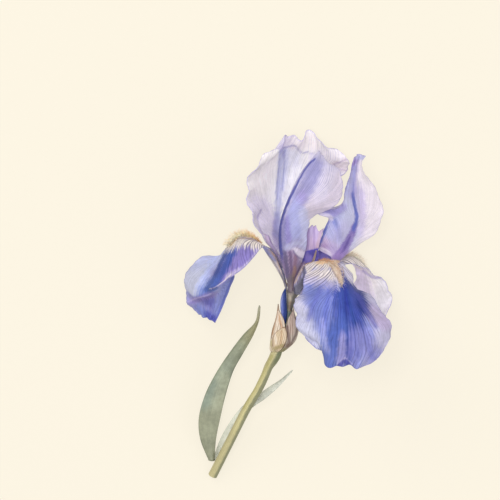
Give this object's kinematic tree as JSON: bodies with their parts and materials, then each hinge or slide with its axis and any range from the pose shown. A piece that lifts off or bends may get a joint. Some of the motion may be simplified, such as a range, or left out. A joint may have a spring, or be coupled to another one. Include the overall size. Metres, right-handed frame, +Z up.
{
  "type": "iris flower",
  "caption": "Picked bearded iris lying on its back: hanging falls with golden beards, upright standards, papery spathe with a bud, cut stem and sword leaves.",
  "frame": {"origin": "centre of the bounding box, on the surface that the flower lies on", "axes": "+Y along the flower, from the stem's cut foot to the tops of the standards; +Z up from the surface, towards a viewer straight above; +X to that viewer's right"},
  "size_m": [0.1362, 0.2288, 0.0994],
  "materials": {
    "fall_blue": "soft matt petal, blue violet with paler edges",
    "standard_lavender": "soft matt petal, pale lavender",
    "style_lavender": "soft matt petal, mauve",
    "beard_gold": "fine golden hairs",
    "anther_tan": "matt tan",
    "stem_green": "smooth yellow green",
    "leaf_green": "waxy grey green",
    "spathe_tan": "dry papery tan",
    "bud_blue": "soft matt petal, dark blue"
  },
  "bodies": {
    "root": {"stem": "stem_green", "perianth_tube": "stem_green", "leaf_left": "leaf_green", "leaf_right": "leaf_green", "spathe_left": "spathe_tan", "spathe_right": "spathe_tan", "bract_front": "spathe_tan", "bud": "bud_blue", "fall_front": "fall_blue", "fall_left": "fall_blue", "fall_back": "fall_blue", "beard_front": "beard_gold", "beard_left": "beard_gold", "beard_back": "beard_gold", "standard_front": "standard_lavender", "standard_right": "standard_lavender", "standard_back": "standard_lavender", "style_front": "style_lavender", "style_left": "style_lavender", "style_back": "style_lavender", "stamen_front": "anther_tan", "stamen_left": "anther_tan", "stamen_back": "anther_tan"}
  },
  "joints": []
}
